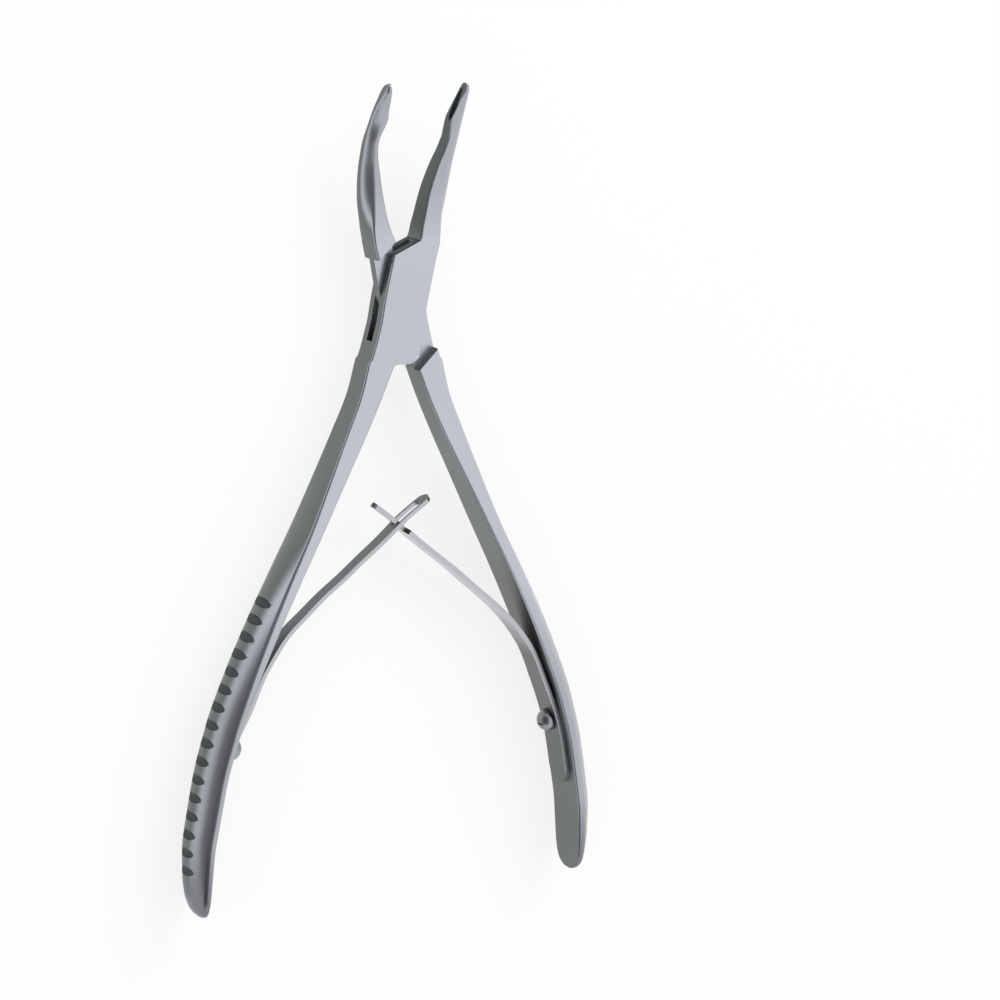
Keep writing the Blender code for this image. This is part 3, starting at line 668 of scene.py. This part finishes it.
def bendTree():
    tree, start, end = newTree("leafBender", "GeometryNodeTree", (
        ("Blank", "NodeSocketGeometry", None), ("Path", "NodeSocketObject", None),
        ("Steel", "NodeSocketMaterial", None)), (("Leaf", "NodeSocketGeometry"),))
    path = addNode(tree, "GeometryNodeObjectInfo", {"transform_space": "ORIGINAL"},
                   {"Object": start.outputs["Path"]})
    spot = addNode(tree, "GeometryNodeInputPosition")
    parts = addNode(tree, "ShaderNodeSeparateXYZ", values={0: spot.outputs[0]})
    sample = addNode(tree, "GeometryNodeSampleCurve", {"mode": "LENGTH"}, {
        "Curves": path.outputs["Geometry"], "Length": parts.outputs["X"]})
    lift = addNode(tree, "ShaderNodeCombineXYZ", values={"Z": parts.outputs["Y"]})
    bent = addNode(tree, "ShaderNodeVectorMath", {"operation": "ADD"},
                   {0: sample.outputs["Position"], 1: lift.outputs[0]})
    moved = addNode(tree, "GeometryNodeSetPosition",
                    values={"Geometry": start.outputs["Blank"], "Position": bent.outputs[0]})
    real = addNode(tree, "GeometryNodeRealizeInstances", values={"Geometry": moved.outputs[0]})
    coated = addNode(tree, "GeometryNodeSetMaterial",
                     values={"Geometry": real.outputs[0], "Material": start.outputs["Steel"]})
    tree.links.new(coated.outputs[0], end.inputs[0])
    return tree


def leafBlank(name, halfWidth, halfSlot, stops):
    # Rows of four points across the flat strip; the two middle ones meet where there is no slot.
    work = bmesh.new()
    rows = []
    for stop in stops:
        wide, slot = halfWidth(stop), halfSlot(stop)
        rows.append([work.verts.new((stop, y, 0)) for y in (-wide, -slot, slot, wide)])
    for low, high in zip(rows, rows[1:]):
        work.faces.new((low[0], high[0], high[1], low[1]))
        work.faces.new((low[2], high[2], high[3], low[3]))
    bmesh.ops.remove_doubles(work, verts=work.verts, dist=leaf["weld"])
    return newObject(name, work)


def roundedEnd(stop, start, end, radiusStart, radiusEnd):
    # Share of the full width left by the round ends of a strip or slot.
    near = min(1, max(0, (stop - start) / radiusStart))
    far = min(1, max(0, (end - stop) / radiusEnd))
    return math.sqrt(1 - (1 - near) ** 2) * math.sqrt(1 - (1 - far) ** 2)


def makeLeaf(name, side, kind, tree):
    shape = leaf[kind]
    line, lengths = leafLine(kind)
    crossing = leafCrossing(line, lengths)
    tongue = kind == "tongue"
    end = crossing + shape["overhang"]
    places = np.linspace(leaf["tail"], crossing, len(shape["widths"]))
    if tongue:
        shoulder = crossing - shape["shoulderPlace"]
    else:
        slotEnd = end - shape["end"]
        slotStart = slotEnd - shape["length"]

    def halfWidth(stop):
        full = float(np.interp(stop, places, shape["widths"])) * leaf["seatWidth"]
        if tongue:
            narrow = float(np.interp(stop, (shoulder, shoulder + shape["shoulder"]), (0, 1)))
            full += narrow * (shape["width"] - full)
        tip = shape["width"] if tongue else leaf["tip"]
        return max(leaf["least"], full / 2 * roundedEnd(stop, 0, end, leaf["seatWidth"] / 2, tip / 2))

    def halfSlot(stop):
        if tongue or not slotStart < stop < slotEnd:
            return 0
        radius = shape["width"] / 2
        return radius * roundedEnd(stop, slotStart, slotEnd, radius, radius)

    ends = 1 - np.cos(np.linspace(0, math.pi / 2, leaf["endStops"]))
    stops = set(np.round(np.linspace(0, end, leaf["stops"]), 3))
    stops |= set(np.round(ends * leaf["seatWidth"] / 2, 3)) | set(np.round(end - ends * leaf["tip"] / 2, 3))
    if tongue:
        stops |= {round(shoulder, 3), round(shoulder + shape["shoulder"], 3)}
    else:
        stops |= set(np.round(slotStart + ends * shape["width"] / 2, 3))
        stops |= set(np.round(slotEnd - ends * shape["width"] / 2, 3))
    blank = leafBlank(name, halfWidth, halfSlot, sorted(stops))

    curve = bpy.data.curves.new(name + "Path", "CURVE")
    curve.dimensions = "3D"
    drawn = curve.splines.new("POLY")
    drawn.points.add(len(line) - 1)
    for point, (x, y) in zip(drawn.points, line):
        point.co = (x, y, 0, 1)
    path = bpy.data.objects.new(name + "Path", curve)
    bpy.context.scene.collection.objects.link(path)
    useTree(blank, tree, {"Path": path, "Steel": springSteel})
    plainMesh(blank)
    bpy.data.objects.remove(path)
    wall = blank.modifiers.new("wall", "SOLIDIFY")
    wall.thickness, wall.offset = shape["thickness"], 0
    soften = blank.modifiers.new("soften", "BEVEL")
    soften.width, soften.segments, soften.limit_method = leaf["bevel"], leaf["bevelSteps"], "ANGLE"
    soften.angle_limit = math.radians(leaf["bevelAngle"])
    soften.use_clamp_overlap = True
    plainMesh(blank)
    if side < 0:
        blank.data.transform(mirror)
    work = bmesh.new()
    work.from_mesh(blank.data)
    bmesh.ops.recalc_face_normals(work, faces=work.faces)
    work.to_mesh(blank.data)
    work.free()
    finishMesh(blank, leaf["sharpAngle"])
    markSides(blank, frontOnly=True)
    seat = np.array([np.interp(leaf["tail"], lengths, line[:, i]) for i in (0, 1)])
    meet = np.array([np.interp(crossing, lengths, line[:, i]) for i in (0, 1)])
    start, middle = (openPose(side) @ Vector((side * x, y, 0)) * mm for x, y in (seat, meet))
    place(blank, openPose(side))
    return blank, start, start + 2 * (middle - start)


bender = bendTree()
for kind, side, bodies, node in (("eye", -1, ("female", "male"), "eye_leaf_spring"),
                                 ("tongue", 1, ("male", "female"), "tongue_leaf_spring")):
    spring, start, end = makeLeaf(kind + "Spring", side, kind, bender)
    tuple(start)
    tuple(end)
    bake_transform(spring)
    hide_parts(node)
print("springs bent")


# Dome-head screws and the flush pivot pin

screw = {"headRadius": 2.35, "headHeight": 2.6, "skirt": 0.35, "shankRadius": 0.9, "shankDepth": 1.9,
         "slotWidth": 0.5, "slotDepth": 0.5, "lift": 0.06, "rim": 0.12,
         "domeTurn": 87, "domeRows": 22, "seatStep": 0.7, "sharpAngle": 30}


def turnedMesh(name, profile):
    return loft(name, [[(x, y, height) for x, y in circlePoints(radius)] for radius, height in profile])


def screwSeat(kind):
    # The screw's own frame on a right-hand spring: Z out of the leaf towards the other handle.
    line, lengths = leafLine(kind)
    points = [Vector((*[float(np.interp(leaf["tail"] + step, lengths, line[:, i])) for i in (0, 1)], 0))
              for step in (-screw["seatStep"], 0, screw["seatStep"])]
    along = (points[2] - points[0]).normalized()
    outward = Vector((-along.y, along.x, 0))
    turn = Matrix((along, outward.cross(along), outward)).transposed().to_4x4()
    return Matrix.Translation(points[1] + outward * leaf[kind]["thickness"] / 2) @ turn


def makeScrew(name, side, kind):
    under = screw["lift"]
    dome = [(screw["headRadius"] * math.cos(a), under + screw["skirt"]
             + (screw["headHeight"] - screw["skirt"]) * math.sin(a))
            for a in np.linspace(0, math.radians(screw["domeTurn"]), screw["domeRows"])]
    shank = -leaf[kind]["thickness"] - screw["shankDepth"]
    profile = [(screw["shankRadius"], shank), (screw["shankRadius"], under),
               (screw["headRadius"] - screw["rim"], under), (screw["headRadius"], under + screw["rim"])] + dome
    head = turnedMesh(name, profile)
    top = profile[-1][1]
    half, far = screw["slotWidth"] / 2, screw["headRadius"] + overrun
    slot = outlineBlock(name + "Slot", [(-half, -far), (half, -far), (half, far), (-half, far)],
                        top - screw["slotDepth"], top + overrun)
    carve(head, [slot])
    head.data.transform(screwSeat(kind))
    if side < 0:
        head.data.transform(mirror)
        head.data.flip_normals()
    finishMesh(head, screw["sharpAngle"])
    markSides(head)
    head.data.materials.clear()
    head.data.materials.append(screwSteel)
    return place(head, openPose(side))


for kind, side, body, node in (("eye", -1, "female", "eye_spring_screw"),
                               ("tongue", 1, "male", "tongue_spring_screw")):
    piece = makeScrew(kind + "Screw", side, kind)
    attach(piece, body)
    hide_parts(node)

pinRadius = lock["pinRadius"] + lock["holeClearance"]
pin = turnedMesh("pivotPin", [(pinRadius, -halfThickness), (pinRadius, halfThickness)])
finishMesh(pin, screw["sharpAngle"])
markSides(pin)
pin.data.materials.append(satinSteel)
place(pin, openPose(-1))
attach(pin, "female")
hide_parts("pivot_pin")
print("screws and pin in place")


# Camera, floor and light

view = {"across": 26.906, "along": -12.487, "roll": 1.581, "distance": 674.42, "shiftRight": -20.026,
        "shiftUp": 39.334, "lens": 121.4, "sensor": 36, "clip": (0.01, 20)}


def placeCamera():
    across, along, roll = (math.radians(view[name]) for name in ("across", "along", "roll"))
    c, s = math.cos(roll), math.sin(roll)
    right = Vector((c * math.cos(across), s * math.cos(across), math.sin(across)))
    up = Vector((-s * math.cos(along) - c * math.sin(across) * math.sin(along),
                 c * math.cos(along) - s * math.sin(across) * math.sin(along),
                 math.cos(across) * math.sin(along)))
    back = right.cross(up)
    spot = (Vector((0, 0, halfThickness)) - view["shiftRight"] * right - view["shiftUp"] * up
            + view["distance"] * back)
    data = bpy.data.cameras.new("camera")
    data.lens = view["lens"]
    data.sensor_width = view["sensor"]
    data.clip_start, data.clip_end = view["clip"]
    camera = bpy.data.objects.new("camera", data)
    camera.matrix_world = Matrix.Translation(spot * mm) @ Matrix((right, up, back)).transposed().to_4x4()
    bpy.context.scene.collection.objects.link(camera)
    bpy.context.scene.camera = camera


studio = {"fill": 0.8, "keyPower": 5.0, "keySize": 0.7, "keyPlace": (0.5, 0.75, 0.6), "floorSize": 3,
          "paper": 0.96, "paperGlow": 0.8, "paperRough": 0.9}


def seenRays(tree):
    # 1 for the rays that show the background: the camera's, and those mirrored by metal or passed by glass.
    path = addNode(tree, "ShaderNodeLightPath")
    seen = addNode(tree, "ShaderNodeMath", {"operation": "MAXIMUM"},
                   {0: path.outputs["Is Camera Ray"], 1: path.outputs["Is Glossy Ray"]})
    return addNode(tree, "ShaderNodeMath", {"operation": "MAXIMUM"},
                   {0: seen.outputs[0], 1: path.outputs["Is Transmission Ray"]}).outputs[0]


def layFloor():
    # White paper. For the rays that show the background it is mostly plain white, and keeps a soft shadow.
    lowest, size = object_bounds()[0][2], studio["floorSize"]
    work = bmesh.new()
    corners = [work.verts.new((x * size, y * size, lowest)) for x, y in ((-1, -1), (1, -1), (1, 1), (-1, 1))]
    work.faces.new(corners)
    floor = newObject("floor", work)
    paper = bpy.data.materials.new("whitePaper")
    paper.use_nodes = True
    tree = paper.node_tree
    shader = tree.nodes["Principled BSDF"]
    shader.inputs["Base Color"].default_value = (*[studio["paper"]] * 3, 1)
    shader.inputs["Roughness"].default_value = studio["paperRough"]
    shader.inputs["Specular IOR Level"].default_value = 0
    white = addNode(tree, "ShaderNodeEmission", values={"Color": (1, 1, 1, 1), "Strength": 1.0})
    glow = addNode(tree, "ShaderNodeMath", {"operation": "MULTIPLY"},
                   {0: seenRays(tree), 1: studio["paperGlow"]})
    mixed = addNode(tree, "ShaderNodeMixShader", values={
        0: glow.outputs[0], 1: shader.outputs[0], 2: white.outputs[0]})
    tree.links.new(mixed.outputs[0], tree.nodes["Material Output"].inputs["Surface"])
    floor.data.materials.append(paper)


def lightStudio():
    world = bpy.data.worlds.new("studio")
    world.use_nodes = True
    tree = world.node_tree
    strength = addNode(tree, "ShaderNodeMapRange", values={
        "Value": seenRays(tree), "To Min": studio["fill"], "To Max": 1.0})
    background = tree.nodes["Background"]
    background.inputs["Color"].default_value = (1, 1, 1, 1)
    tree.links.new(strength.outputs["Result"], background.inputs["Strength"])
    bpy.context.scene.world = world
    bpy.context.scene.view_settings.view_transform = "Standard"
    data = bpy.data.lights.new("softBox", "AREA")
    data.shape = "DISK"
    data.size = studio["keySize"]
    data.energy = studio["keyPower"]
    lamp = bpy.data.objects.new("softBox", data)
    spot = Vector(studio["keyPlace"])
    lamp.matrix_world = Matrix.Translation(spot) @ spot.to_track_quat("Z", "Y").to_matrix().to_4x4()
    bpy.context.scene.collection.objects.link(lamp)


darkCloth = {"radius": 0.95, "from": 170, "to": 101, "length": 1.9, "colour": (0.16, 0.165, 0.17),
             "steps": 16}


def hangDarkCloth():
    # A dark cloth that arches over the camera's side, seen only by the steel, as a photographer's flag is.
    work = bmesh.new()
    rows = [[work.verts.new((darkCloth["radius"] * math.cos(a), y * darkCloth["length"] / 2,
                             darkCloth["radius"] * math.sin(a))) for y in (-1, 1)]
            for a in np.radians(np.linspace(darkCloth["from"], darkCloth["to"], darkCloth["steps"]))]
    for low, high in zip(rows, rows[1:]):
        work.faces.new((low[0], low[1], high[1], high[0]))
    cloth = newObject("darkCloth", work)
    felt = bpy.data.materials.new("darkFelt")
    felt.use_nodes = True
    shader = felt.node_tree.nodes["Principled BSDF"]
    shader.inputs["Base Color"].default_value = (*darkCloth["colour"], 1)
    shader.inputs["Roughness"].default_value = 1
    cloth.data.materials.append(felt)
    cloth.visible_camera = cloth.visible_diffuse = cloth.visible_shadow = False


placeCamera()
layFloor()
lightStudio()
hangDarkCloth()
print("scene ready")
